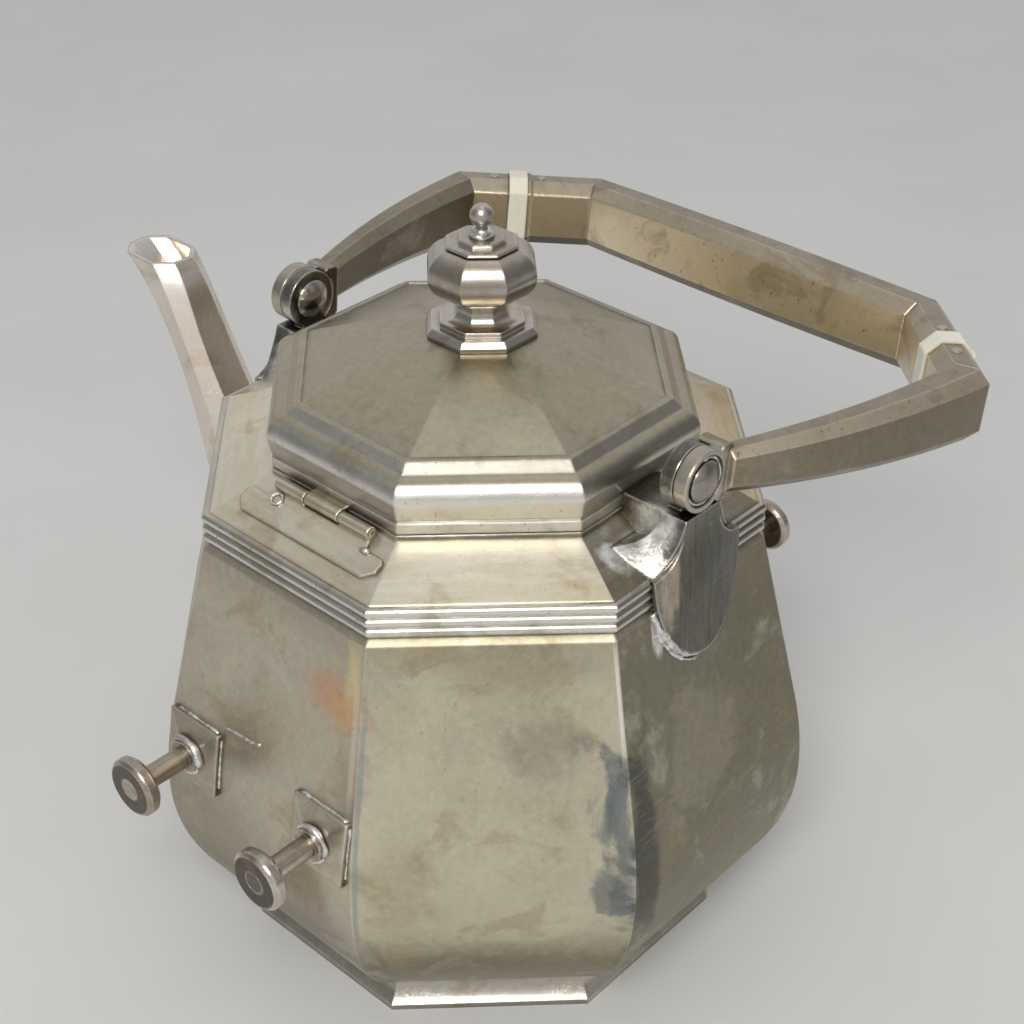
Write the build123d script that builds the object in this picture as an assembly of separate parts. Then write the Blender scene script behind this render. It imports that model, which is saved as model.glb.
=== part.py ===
from build123d import *
import os
from math import asin, atan2, cos, degrees, hypot, pi, radians, sin, sqrt, tan

# An octagonal metal kettle with a hinged lid and a swinging, insulated bail handle.
# It is the kettle of a spirit set: four spools on its belly hang it in a stand.
# Millimetres. +Z is up and the origin is the centre of the foot's underside.
# The spout points to -X, the handle swings about an axis along X, and the lid
# hinges at the -Y side. "Flats" is a width across two opposite flats.

os.makedirs("parts", exist_ok=True)

# ---------------------------------------------------------------- sizes
# Clearances
RUN_GAP = 0.05          # radial gap of a pin that turns in its bore
SEAT_GAP = 0.30         # gap between moving pieces that come to rest on each other
BEZEL_GAP = 0.50        # gap between the lid's bezel and the neck
TENON_GAP = 0.10        # gap round a tenon in its socket
SINK = 1.0              # how far a soldered piece is drawn into its seat before trimming

# Foot
FOOT_FLATS = 118.4
FOOT_EDGE = 1.6         # height of the foot's plain bottom edge
FOOT_HEIGHT = 7.5
FOOT_SPREAD = 3.5       # bottom edge outside the foot's top
FOOT_COVE_LEAN = 0.2    # outward share of the cove's first direction
FOOT_WALL = 2.0
BASE_THICK = 1.2

# Body
BELLY_FLATS = 155.0
BELLY_HEIGHT = 52.5     # height of the widest place
BODY_TURN_RADIUS = 95.0 # bend from the belly into the straight upper side
BODY_LEAN = 13.6        # lean of the straight upper side
BODY_TOP_HEIGHT = 120.6
BODY_COVE = 1.7         # height of the small cove under the reeds
BODY_COVE_DEPTH = 1.9
BODY_WALL = 1.2
REED_COUNT = 3
REED_HEIGHT = 2.5
REED_DEPTH = 1.7

# Shoulder and neck
SHOULDER_RISE = 6.8
SHOULDER_RUN = 14.4     # from the reeds' back to the neck
SHOULDER_WALL = 1.1
NECK_RISE = 1.1         # neck ring above the shoulder
NECK_DEPTH = 5.5
NECK_WALL = 2.6

# Lid
LID_INSET = 0.1         # lid's lower edge inside the neck's outer face
LID_SWELL = 0.9         # widest place outside the lower edge
LID_FRAME = 7.7         # from the widest place in to the panel
LID_RIM_HEIGHT = 15.1   # from the lid's lower edge to its raised line
LID_WIDEST = 7.9        # height of the widest place above the lower edge
LID_BEAD = 3.1          # height of the bead above the lower edge
LID_BEAD_CUT = 0.5
LID_PANEL_RISE = 9.5
LID_PANEL_CAMBER = 0.7  # how far the panel bulges above a straight slope
LID_SEAT_FLATS = 24.0   # flat seat of the finial
LID_CREST = 1.3         # width of the raised line round the panel
LID_CREST_RISE = 0.5
LID_GROOVE = 2.3        # drop from the raised line to the groove outside it
LID_WALL = 1.1
LID_LIP = 3.6           # width of the flat lip under the rim
BEZEL_WALL = 1.2
BEZEL_DEPTH = 5.8

# Finial
PLINTH_FLATS = 25.0
PLINTH_EDGE = 1.1
PLINTH_STEP_FLATS = 19.2
PLINTH_HEIGHT = 3.6
WAIST_FLATS = 11.0
WAIST_HEIGHT = 5.2
KNOB_FLATS = 24.4
KNOB_HEIGHT = 12.0
KNOB_FOOT_FLATS = 14.6
CAP_FLATS = 16.2
CAP_STEP_FLATS = 10.6
CAP_STEP = 1.0
BALL_RADIUS = 2.7
BALL_NECK_RADIUS = 1.35
BALL_NECK = 5.0
STUD_RADIUS = 1.6
STUD_BELOW = 4.6
NUT_FLATS = 7.0
NUT_THICK = 2.6

# Lid hinge
KNUCKLE_RADIUS = 1.5
HINGE_PIN_RADIUS = 0.8
KNUCKLE_CENTRE = 10.4   # length of the lid's knuckle
KNUCKLE_END = 9.2       # length of each knuckle of the body's leaf
KNUCKLE_PLAY = 0.3
KNUCKLE_WEB = 2.1       # side of the square web under a knuckle
HINGE_OFFSET = 2.5      # pin's centre outside the lid's lower edge
LEAF_THICK = 0.7
LEAF_LOBE = 8.0         # lobe beyond the outer knuckle's end
LEAF_WAIST = 2.8        # depth of the leaf between its knuckles and its lobes
LEAF_DROP = 8.8
LEAF_CORNER = 2.5
LEAF_STEP = 1.0
STRAP_THICK = 0.8
STRAP_REACH = 3.4

# Spout: lower edge, upper edge, width. An edge is given by its distance
# outside the belly's flat and its height above the belly's widest place.
SPOUT_STATIONS = [
    ((-9.5, -19.0), (-11.5, 23.5), 27.0),
    ((10.0, 4.0), (-0.5, 27.0), 23.5),
    ((20.3, 28.5), (4.5, 38.0), 20.0),
    ((26.4, 49.5), (14.0, 55.0), 17.0),
    ((36.2, 71.0), (23.8, 73.5), 15.3),
    ((51.2, 88.1), (32.0, 88.1), 14.4),
]
SPOUT_CHAMFER = 0.29    # corner cut as a share of the section's smaller width
SPOUT_WALL = 1.1
STRAINER_RADIUS = 1.5
STRAINER_PITCH = 5.2
STRAINER_RISE = 6.5     # middle of the holes above the belly's widest place
STRAINER_ROWS = 3
STRAINER_COLUMNS = 4

# Handle, drawn upright: s runs along the pivot's axis and t away from it
PIVOT_RISE = 19.1       # above the top of the reeds
PIVOT_INSET = 0.5       # joint of the two knuckles inside the reeds' back
DROP_ANGLE = 95.5       # how far the bail lies from upright when dropped
DISC_RADIUS = 7.25
DISC_THICK = 3.3
DISC_RECESS = 0.9
RIVET_RADIUS = 2.2
RIVET_HEAD_RADIUS = 4.9
RIVET_FLANGE = 0.5
RIVET_DOME = 1.9
RECESS_MARGIN = 1.2     # recess beyond the rivet's head
ELBOW_OUT = 19.2        # elbow's bend outside the joint of the knuckles
ELBOW_T = 78.8
CORNER_IN = 26.9        # from the elbow's bend in to the grip's
CORNER_UP = 26.9        # from the elbow's bend up to the grip's
ARM_BOW = 2.0
ARM_ROOT_THICK = 6.6
ARM_ROOT_TALL = 10.6
ARM_CHAMFER = 1.9
BAR_THICK = 11.0        # in the bail's plane
BAR_TALL = 18.5         # across the bail's plane
BAR_CHAMFER = 3.1
GRIP_SWELL = 1.0        # extra height in the middle of the grip
BAR_WALL = 1.4
INSULATOR_THICK = 5.2
INSULATOR_PROUD = 1.0
INSULATOR_PLACE = 0.40  # share of the way from the elbow to the grip
TENON_LENGTH = 8.0
HANDLE_PIN_RADIUS = 1.1
BAND_LENGTH = 1.2       # raised band of the grip's end next to the insulator
BAND_PROUD = 0.4
COLLAR_THICK = 1.3
HEEL_START = 4.3        # heel's inner face, measured from the pivot
HEEL_CHAMFER = 0.9

# Brackets
BRACKET_NECK_HALF = 6.0
WEB_HALF = 3.2          # web between the bracket and its knuckle
TONGUE_HALF = 15.0
TONGUE_NECK = 1.5       # straight part of the tongue's neck before it flares
TONGUE_THICK = 2.3      # over the reeds
TONGUE_DROP = 16.4      # tongue's tip below the lowest reed
TONGUE_CROWN = 70.0     # radius of the tongue's rounded front
TONGUE_SWEEP = 60.0     # angle of that round front, wider than the tongue
TONGUE_TIP = 1.2
GUSSET_HALF_OUT = 15.6
GUSSET_HALF_IN = 21.5
GUSSET_MARGIN = 0.6     # gusset's inner edge outside the neck
GUSSET_WAIST = 2.2      # height of the gusset's waist below the bracket's top
GUSSET_WAIST_HALF = 6.8

# Spools
SPOOL_HALF = 21.7
SPOOL_RISE = 16.5       # above the belly's widest place
SPOOL_PLATE = 17.0
SPOOL_PLATE_EDGE = 1.0
SPOOL_PLATE_RISE = 1.6
SPOOL_PLATE_TOP = 5.6   # width of the low pyramid's flat top
SPOOL_RADIUS = 2.7
SPOOL_COLLAR_RADIUS = 4.2
SPOOL_COLLAR = 1.4
SPOOL_LENGTH = 13.2     # from the plate to the disc
SPOOL_DISC_RADIUS = 7.4
SPOOL_DISC = 3.8
SPOOL_DISC_BEVEL = 0.9

# ------------------------------------------------------- derived places
HALF_TURN = pi / 8
FOOT_TOP = FOOT_FLATS / 2 - FOOT_SPREAD
BELLY = BELLY_FLATS / 2
TURN_RISE = BODY_TURN_RADIUS * sin(radians(BODY_LEAN))
TURN_IN = BODY_TURN_RADIUS * (1 - cos(radians(BODY_LEAN)))
TURN_HEIGHT = BELLY_HEIGHT + TURN_RISE
COVE_HEIGHT = BODY_TOP_HEIGHT - BODY_COVE
SIDE_SLOPE = tan(radians(BODY_LEAN))
BODY_TOP = BELLY - TURN_IN - (COVE_HEIGHT - TURN_HEIGHT) * SIDE_SLOPE - BODY_COVE_DEPTH
REED_TOP = BODY_TOP_HEIGHT + REED_COUNT * REED_HEIGHT
REED_FACE = BODY_TOP + REED_DEPTH
NECK = BODY_TOP - SHOULDER_RUN
NECK_BASE = REED_TOP + SHOULDER_RISE
NECK_TOP = NECK_BASE + NECK_RISE
SHOULDER_SLOPE = SHOULDER_RISE / SHOULDER_RUN
LID_BASE = NECK_TOP + SEAT_GAP
LID_FOOT = NECK - LID_INSET
LID_EDGE = LID_FOOT + LID_SWELL
PANEL = LID_EDGE - LID_FRAME
LID_CREST_TOP = LID_BASE + LID_RIM_HEIGHT
PANEL_EDGE = LID_CREST_TOP - LID_CREST_RISE
PANEL_TOP = PANEL_EDGE + LID_PANEL_RISE
HINGE_Y = -(LID_FOOT + HINGE_OFFSET)
HINGE_FLOOR = NECK_BASE - (-HINGE_Y - NECK) * SHOULDER_SLOPE
HINGE_Z = HINGE_FLOOR + KNUCKLE_RADIUS * hypot(1, SHOULDER_SLOPE)
HINGE_START = KNUCKLE_CENTRE / 2 + KNUCKLE_PLAY
HINGE_END = HINGE_START + KNUCKLE_END
LEAF_HALF = HINGE_END + LEAF_LOBE - LEAF_STEP
PLINTH_TOP = PANEL_TOP + PLINTH_HEIGHT
KNOB_BASE = PLINTH_TOP + WAIST_HEIGHT
KNOB_TOP = KNOB_BASE + KNOB_HEIGHT
CAP_TOP = KNOB_TOP + 2 * CAP_STEP
BALL_CENTRE = CAP_TOP + BALL_NECK
PIVOT_HEIGHT = REED_TOP + PIVOT_RISE
PIVOT_HALF = BODY_TOP - PIVOT_INSET
DISC_IN = PIVOT_HALF - SEAT_GAP / 2 - DISC_THICK
DISC_OUT = PIVOT_HALF + SEAT_GAP / 2
BRACKET_FRONT = DISC_OUT + DISC_THICK
BRACKET_TOP = PIVOT_HEIGHT - DISC_RADIUS - SEAT_GAP
ARM_OUT = DISC_OUT + DISC_THICK / 2
ARM_START = DISC_RADIUS + SEAT_GAP
COLLAR_END = ARM_START + COLLAR_THICK
DROP_SLOPE = radians(DROP_ANGLE - 90)
COLLAR_HALF = DISC_RADIUS * cos(DROP_SLOPE) - BRACKET_NECK_HALF * sin(DROP_SLOPE)
TONGUE_LOW = BODY_TOP_HEIGHT - TONGUE_DROP
ELBOW_S = PIVOT_HALF + ELBOW_OUT
GRIP_S = ELBOW_S - CORNER_IN
GRIP_T = ELBOW_T + CORNER_UP
ARM_ANGLE = degrees(atan2(ELBOW_S - ARM_OUT, ELBOW_T))
ARM_END_ANGLE = ARM_ANGLE - degrees(atan2(4 * ARM_BOW, ELBOW_T))
CORNER_ANGLE = -degrees(atan2(CORNER_IN, CORNER_UP))
CORNER_LENGTH = hypot(CORNER_IN, CORNER_UP)
ELBOW_MITRE = (ARM_END_ANGLE + CORNER_ANGLE) / 2
GRIP_MITRE = (CORNER_ANGLE - 90) / 2
INSULATOR_MIDDLE = CORNER_LENGTH * INSULATOR_PLACE
FACE_LOW = INSULATOR_MIDDLE - INSULATOR_THICK / 2
FACE_HIGH = INSULATOR_MIDDLE + INSULATOR_THICK / 2
PIN_LOW = FACE_LOW - TENON_LENGTH / 2
PIN_HIGH = FACE_HIGH + TENON_LENGTH / 2
SPOOL_HEIGHT = BELLY_HEIGHT + SPOOL_RISE
SPOOL_SEAT = SPOOL_PLATE_EDGE + SPOOL_PLATE_RISE
SPOOL_TILT = degrees(asin(min(SPOOL_RISE, TURN_RISE) / BODY_TURN_RADIUS))


# -------------------------------------------------------------- helpers
def octagonal(section):
    """Piece with eight flats, from its section drawn on XZ through the middle of one."""
    box = section.bounding_box()
    reach = box.max.X + 1
    half = reach * tan(HALF_TURN)
    bar = extrude(section, amount=half, both=True)
    wedge = make_face(Polyline((0, 0), (reach, half), (reach, -half), close=True))
    side = bar & Pos(0, 0, box.min.Z - 1) * extrude(wedge, amount=box.size.Z + 2)
    sides = [Rot(0, 0, 45 * turn) * side for turn in range(8)]
    return sides[0].fuse(*sides[1:]).clean()


def profile(*curves):
    """Face on XZ from curves drawn as (distance from the axis, height)."""
    edges = [edge for curve in curves for edge in curve.edges()]
    return Plane.XZ * make_face(edges)


def polygon(*points):
    return profile(Polyline(*points, close=True))


def chamfered(width, height, chamfer):
    """Rectangle with its four corners cut off."""
    x = width / 2
    y = height / 2
    return make_face(Polyline((x, y - chamfer), (x - chamfer, y), (chamfer - x, y), (-x, y - chamfer),
                              (-x, chamfer - y), (chamfer - x, -y), (x - chamfer, -y), (x, chamfer - y),
                              close=True))


def along_x(radius, start, end, y, z):
    """Round bar parallel to X."""
    return Pos((start + end) / 2, y, z) * Rot(0, 90, 0) * Cylinder(radius, end - start)


def mirrored(piece):
    return mirror(piece, about=Plane.YZ)


# ----------------------------------------------------------------- body
def wall_at(height):
    """Distance of the body's flats from the axis at a height above the belly."""
    rise = min(height - BELLY_HEIGHT, TURN_RISE)
    turned = BELLY - BODY_TURN_RADIUS + sqrt(BODY_TURN_RADIUS ** 2 - rise ** 2)
    return turned - max(height - TURN_HEIGHT, 0) * SIDE_SLOPE


def body_curves(inset):
    """Line of the body's side, moved inwards by inset."""
    belly = BELLY - inset
    turned = wall_at(TURN_HEIGHT) - inset
    lower = TangentArc((belly, BELLY_HEIGHT), (FOOT_TOP - inset, FOOT_HEIGHT), tangent=(0, -1))
    turn = TangentArc((belly, BELLY_HEIGHT), (turned, TURN_HEIGHT), tangent=(0, 1))
    upper = Polyline((turned, TURN_HEIGHT), (wall_at(COVE_HEIGHT) - inset, COVE_HEIGHT),
                     (BODY_TOP - inset, BODY_TOP_HEIGHT))
    return lower, turn, upper


def body_solid():
    """The body as if it were filled up."""
    high = REED_TOP - SHOULDER_WALL
    rest = Polyline((BODY_TOP, BODY_TOP_HEIGHT), (BODY_TOP, high), (0, high), (0, FOOT_HEIGHT),
                    (FOOT_TOP, FOOT_HEIGHT))
    return octagonal(profile(*body_curves(0), rest))


def body_shell():
    high = REED_TOP - SHOULDER_WALL
    inner_top = BODY_TOP - BODY_WALL
    top = Polyline((BODY_TOP, BODY_TOP_HEIGHT), (BODY_TOP, high), (inner_top, high),
                   (inner_top, BODY_TOP_HEIGHT))
    bottom = Line((FOOT_TOP, FOOT_HEIGHT), (FOOT_TOP - BODY_WALL, FOOT_HEIGHT))
    wall = octagonal(profile(*body_curves(0), top, *body_curves(BODY_WALL), bottom))
    return wall - strainer()


def strainer():
    """Holes behind the spout's root, every other row moved half a pitch."""
    holes = []
    pitch = STRAINER_PITCH * sin(pi / 3)
    for row in range(STRAINER_ROWS):
        count = STRAINER_COLUMNS - row % 2
        height = BELLY_HEIGHT + STRAINER_RISE + (row - (STRAINER_ROWS - 1) / 2) * pitch
        for column in range(count):
            side = (column - (count - 1) / 2) * STRAINER_PITCH
            holes.append(along_x(STRAINER_RADIUS, -BELLY - SINK, -BELLY + 8 * BODY_WALL, side, height))
    return holes


def reed_moulding():
    """Half-round reeds one above another on a flat back."""
    root = BODY_TOP + REED_DEPTH / 3
    reeds = []
    for reed in range(REED_COUNT):
        low = BODY_TOP_HEIGHT + reed * REED_HEIGHT
        high = low + REED_HEIGHT
        reeds.append(ThreePointArc((root, low), (REED_FACE, (low + high) / 2), (root, high)))
    back = Polyline((root, REED_TOP), (BODY_TOP, REED_TOP), (BODY_TOP, BODY_TOP_HEIGHT),
                    (root, BODY_TOP_HEIGHT))
    return octagonal(profile(*reeds, back))


def shoulder():
    low = REED_TOP - SHOULDER_WALL
    return octagonal(polygon((BODY_TOP, low), (BODY_TOP, REED_TOP), (NECK, NECK_BASE),
                             (NECK, NECK_BASE - SHOULDER_WALL)))


def neck_ring():
    inner = NECK - NECK_WALL
    step = NECK - NECK_WALL / 2
    low = NECK_BASE - SHOULDER_WALL
    return octagonal(polygon((inner, NECK_TOP - NECK_DEPTH), (step, NECK_TOP - NECK_DEPTH), (step, low),
                             (NECK, low), (NECK, NECK_TOP), (inner, NECK_TOP)))


def foot_ring():
    edge = FOOT_FLATS / 2
    inner = FOOT_TOP - FOOT_WALL
    cove = TangentArc((FOOT_TOP, FOOT_HEIGHT), (edge, FOOT_EDGE), tangent=(FOOT_COVE_LEAN, -1))
    rest = Polyline((FOOT_TOP, FOOT_HEIGHT), (inner, FOOT_HEIGHT), (inner, FOOT_EDGE),
                    (edge - 2 * FOOT_WALL, 0), (edge, 0), (edge, FOOT_EDGE))
    return octagonal(profile(cove, rest))


def base_plate(shell):
    top = FOOT_HEIGHT + BASE_THICK
    return octagonal(polygon((0, FOOT_HEIGHT), (FOOT_TOP, FOOT_HEIGHT), (FOOT_TOP, top), (0, top))) - shell


# ---------------------------------------------------------------- spout
def spout_section(station, inset):
    (low_out, low_rise), (high_out, high_rise), width = station
    low = Vector(-BELLY - low_out, 0, BELLY_HEIGHT + low_rise)
    high = Vector(-BELLY - high_out, 0, BELLY_HEIGHT + high_rise)
    across = high - low
    frame = Plane(origin=(low + high) / 2, x_dir=across, z_dir=across.cross(Vector(0, 1, 0)))
    depth = across.length - 2 * inset
    wide = width - 2 * inset
    return frame * chamfered(depth, wide, min(depth, wide) * SPOUT_CHAMFER)


def spout_solid(inset):
    return loft([spout_section(station, inset) for station in SPOUT_STATIONS])


def spout(filled_body):
    return spout_solid(0) - spout_solid(SPOUT_WALL) - filled_body


# ------------------------------------------------------------------ lid
def lid_cover():
    """Panelled lid with an ogee rim, open underneath, notched for the hinge's strap."""
    panel = PANEL
    foot = LID_FOOT
    belly = LID_BASE + LID_WIDEST
    bead = LID_BASE + LID_BEAD
    cut = LID_BEAD_CUT
    groove = (panel + LID_CREST + LID_GROOVE, LID_CREST_TOP - LID_GROOVE)
    seat = LID_SEAT_FLATS / 2
    bulge = ((seat + panel) / 2 + LID_PANEL_CAMBER / 2, (PANEL_TOP + PANEL_EDGE) / 2 + LID_PANEL_CAMBER)
    dome = ThreePointArc((seat, PANEL_TOP), bulge, (panel, PANEL_EDGE))
    crest = Polyline((panel, PANEL_EDGE), (panel, LID_CREST_TOP),
                     (panel + LID_CREST, LID_CREST_TOP - LID_CREST_RISE / 2), groove)
    ogee = TangentArc((LID_EDGE, belly), groove, tangent=(0, 1))
    rim = Polyline((LID_EDGE, belly), (foot, bead + cut), (foot - cut, bead + cut / 2),
                   (foot - cut, bead - cut / 2), (foot, bead - cut), (foot, LID_BASE))
    inner = foot - LID_CREST_RISE - 1.5 * LID_WALL
    under = Polyline((foot, LID_BASE), (foot - LID_LIP, LID_BASE), (foot - LID_LIP, LID_BASE + LID_WALL),
                     (inner, LID_BASE + LID_WALL), (inner, belly),
                     (panel - LID_WALL, PANEL_EDGE - 1.5 * LID_WALL), (seat, PANEL_TOP - LID_WALL),
                     (0, PANEL_TOP - LID_WALL), (0, PANEL_TOP), (seat, PANEL_TOP))
    return bored(octagonal(profile(dome, crest, ogee, rim, under))) - strap_plate()


def lid_bezel():
    outer = NECK - NECK_WALL - BEZEL_GAP
    inner = outer - BEZEL_WALL
    low = LID_BASE - BEZEL_DEPTH
    return octagonal(polygon((inner, low), (outer, low), (outer, LID_BASE), (inner, LID_BASE)))


# --------------------------------------------------------------- finial
def bored(piece):
    """Piece with the finial's bore down the middle."""
    return piece - Pos(0, 0, PANEL_TOP) * Cylinder(STUD_RADIUS, 2 * (KNOB_TOP - PANEL_TOP + PLINTH_HEIGHT))


def finial_plinth():
    """Stepped base of the finial with its narrow waist."""
    half = PLINTH_FLATS / 2
    step = PLINTH_STEP_FLATS / 2
    waist = WAIST_FLATS / 2
    edge = PANEL_TOP + PLINTH_EDGE
    ledge = (edge + PLINTH_TOP) / 2
    neck = (waist, PLINTH_TOP + WAIST_HEIGHT / 2)
    cove = TangentArc(neck, (step, PLINTH_TOP), tangent=(0, -1))
    rest = Polyline((step, PLINTH_TOP), (step, ledge), (half - PLINTH_EDGE, ledge), (half, edge),
                    (half, PANEL_TOP), (0, PANEL_TOP), (0, KNOB_BASE), (waist, KNOB_BASE), neck)
    return bored(octagonal(profile(cove, rest)))


def finial_knob():
    widest = (KNOB_FLATS / 2, KNOB_BASE + KNOB_HEIGHT / 2)
    foot = (KNOB_FOOT_FLATS / 2, KNOB_BASE)
    cap = (CAP_FLATS / 2, KNOB_TOP)
    lower = TangentArc(widest, foot, tangent=(0, -1))
    upper = TangentArc(widest, cap, tangent=(0, 1))
    rest = Polyline(cap, (0, KNOB_TOP), (0, KNOB_BASE), foot)
    return bored(octagonal(profile(lower, upper, rest)))


def finial_cap():
    cap = CAP_FLATS / 2
    step = CAP_STEP_FLATS / 2
    low = KNOB_TOP
    ledge = low + CAP_STEP
    bevel = CAP_STEP / 2
    return bored(octagonal(polygon((0, low), (cap - bevel, low), (cap, low + bevel), (cap - bevel, ledge),
                                   (step, ledge), (step, ledge + bevel), (step - bevel, CAP_TOP),
                                   (0, CAP_TOP))))


def finial_stud():
    """Ball tip whose stem runs down through the whole finial and the lid."""
    low = PANEL_TOP - STUD_BELOW
    neck = BALL_NECK_RADIUS
    join = BALL_CENTRE - sqrt(BALL_RADIUS ** 2 - neck ** 2)
    tip = BALL_CENTRE + BALL_RADIUS
    flare = BALL_NECK / 4
    ball = ThreePointArc((neck, join), (BALL_RADIUS, BALL_CENTRE), (0, tip))
    stem = Polyline((0, tip), (0, low), (STUD_RADIUS, low), (STUD_RADIUS, CAP_TOP),
                    (STUD_RADIUS + flare, CAP_TOP), (STUD_RADIUS + flare, CAP_TOP + flare / 2),
                    (neck, CAP_TOP + flare), (neck, join))
    return revolve(profile(ball, stem), Axis.Z)


def finial_nut():
    nut = extrude(RegularPolygon(NUT_FLATS / 2, 6, major_radius=False), amount=-NUT_THICK)
    nut -= Cylinder(STUD_RADIUS, 4 * NUT_THICK)
    return Pos(0, 0, PANEL_TOP - LID_WALL) * nut


# ------------------------------------------------------------ lid hinge
def hinge_leaf(supports):
    """Lobed leaf soldered on the shoulder, with the two outer knuckles."""
    seat = Plane(origin=(0, HINGE_Y, HINGE_FLOOR), x_dir=(1, 0, 0), z_dir=(0, -SHOULDER_SLOPE, 1))
    lobe = LEAF_HALF - LEAF_STEP
    side = Polyline((0, 0), (HINGE_END, 0), (HINGE_END + LEAF_STEP, -LEAF_WAIST), (lobe, -LEAF_WAIST),
                    (LEAF_HALF, -LEAF_WAIST - LEAF_STEP), (LEAF_HALF, LEAF_CORNER - LEAF_DROP),
                    (LEAF_HALF - LEAF_CORNER, -LEAF_DROP), (0, -LEAF_DROP), close=True)
    half = extrude(make_face(side), amount=LEAF_THICK)
    leaf = seat * (half + mirrored(half))
    for ends in ((-HINGE_END, -HINGE_START), (HINGE_START, HINGE_END)):
        leaf += along_x(KNUCKLE_RADIUS, *ends, HINGE_Y, HINGE_Z)
        web = Box(KNUCKLE_END, KNUCKLE_WEB, KNUCKLE_WEB)
        leaf += Pos(sum(ends) / 2, HINGE_Y, HINGE_Z - KNUCKLE_RADIUS) * web
    leaf -= along_x(KNUCKLE_RADIUS + SEAT_GAP, -HINGE_START, HINGE_START, HINGE_Y, HINGE_Z)
    return leaf - supports - along_x(HINGE_PIN_RADIUS, -HINGE_END, HINGE_END, HINGE_Y, HINGE_Z)


def strap_plate():
    """Flat tab that reaches from the lid's knuckle under the rim."""
    inner = STRAP_REACH - LID_FOOT
    width = inner - HINGE_Y
    return Pos(0, HINGE_Y + width / 2, LID_BASE + STRAP_THICK / 2) * Box(KNUCKLE_CENTRE, width, STRAP_THICK)


def hinge_strap():
    half = KNUCKLE_CENTRE / 2
    strap = strap_plate() + along_x(KNUCKLE_RADIUS, -half, half, HINGE_Y, HINGE_Z)
    return strap - along_x(HINGE_PIN_RADIUS + RUN_GAP, -HINGE_END, HINGE_END, HINGE_Y, HINGE_Z)


def hinge_pin():
    return along_x(HINGE_PIN_RADIUS, -HINGE_END, HINGE_END, HINGE_Y, HINGE_Z)


# -------------------------------------------------------------- brackets
def bracket_seat(filled_body):
    """Everything that the brackets and the hinge sit on, as one solid."""
    low = REED_TOP - SHOULDER_WALL
    cone = octagonal(polygon((0, low), (BODY_TOP, low), (BODY_TOP, REED_TOP), (NECK, NECK_BASE),
                             (NECK, NECK_TOP), (0, NECK_TOP)))
    reeds = octagonal(polygon((0, BODY_TOP_HEIGHT), (REED_FACE, BODY_TOP_HEIGHT), (REED_FACE, REED_TOP),
                              (0, REED_TOP)))
    return filled_body + cone + reeds


def tongue():
    """Shield that hangs from the bracket's neck over the reeds and down the body."""
    high = BRACKET_TOP
    neck = BRACKET_NECK_HALF
    wide = TONGUE_HALF
    flare = TangentArc((neck, high - TONGUE_NECK), (wide, REED_TOP), tangent=(0, -1))
    lobe = EllipticalCenterArc((0, REED_TOP), wide, REED_TOP - TONGUE_LOW, start_angle=-90, arc_size=90)
    middle = Polyline((0, TONGUE_LOW), (0, high), (neck, high), (neck, high - TONGUE_NECK))
    half = make_face([*flare.edges(), *lobe.edges(), *middle.edges()])
    outline = Plane.YZ * (half + mirror(half, about=Plane.YZ))
    shield = Pos(NECK, 0, 0) * extrude(outline, amount=BELLY - NECK)
    face = REED_FACE + TONGUE_THICK
    low = TONGUE_LOW - SINK
    tip = wall_at(low) + TONGUE_TIP
    front = Spline((BRACKET_FRONT, high), (face, REED_TOP), (tip, low), tangents=((0, -1), (SIDE_SLOPE, -1)))
    back = Polyline((BRACKET_FRONT, high), (NECK, high), (NECK, low), (tip, low))
    centre = Axis((face - TONGUE_CROWN, 0, 0), (0, 0, 1))
    swept = revolve(profile(front, back), centre, TONGUE_SWEEP).rotate(centre, -TONGUE_SWEEP / 2)
    return shield & swept


def gusset():
    """Flanks that rise from the shoulder to the bracket's neck."""
    run = SHOULDER_RUN - GUSSET_MARGIN
    middle = BODY_TOP - run / 2
    seat = Plane(origin=(middle, 0, REED_TOP + run / 2 * SHOULDER_SLOPE - SINK),
                 x_dir=(1, 0, -SHOULDER_SLOPE), z_dir=(SHOULDER_SLOPE, 0, 1))
    half = run / 2 * hypot(1, SHOULDER_SLOPE)
    foot = seat * make_face(Polyline((-half, -GUSSET_HALF_IN), (half, -GUSSET_HALF_OUT),
                                     (half, GUSSET_HALF_OUT), (-half, GUSSET_HALF_IN), close=True))
    depth = BRACKET_FRONT - DISC_IN
    centre = (BRACKET_FRONT + DISC_IN) / 2
    waist = Pos(centre, 0, BRACKET_TOP - GUSSET_WAIST) * Rectangle(depth, 2 * GUSSET_WAIST_HALF)
    crown = Pos(centre, 0, BRACKET_TOP) * Rectangle(depth, 2 * BRACKET_NECK_HALF)
    return loft([foot, waist, crown])


def bracket(seat):
    """Cast saddle and tongue that carry the fixed knuckle of the handle's pivot."""
    disc = along_x(DISC_RADIUS, DISC_IN, DISC_IN + DISC_THICK, 0, PIVOT_HEIGHT)
    web_top = PIVOT_HEIGHT - DISC_RADIUS / 2
    web = Box(DISC_THICK, 2 * WEB_HALF, web_top - BRACKET_TOP + SINK)
    web = Pos(DISC_IN + DISC_THICK / 2, 0, (web_top + BRACKET_TOP - SINK) / 2) * web
    whole = gusset() + tongue() + disc + web
    bore = along_x(RIVET_RADIUS, DISC_IN - SINK, DISC_IN + DISC_THICK + SINK, 0, PIVOT_HEIGHT)
    return whole - bore - seat


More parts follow.
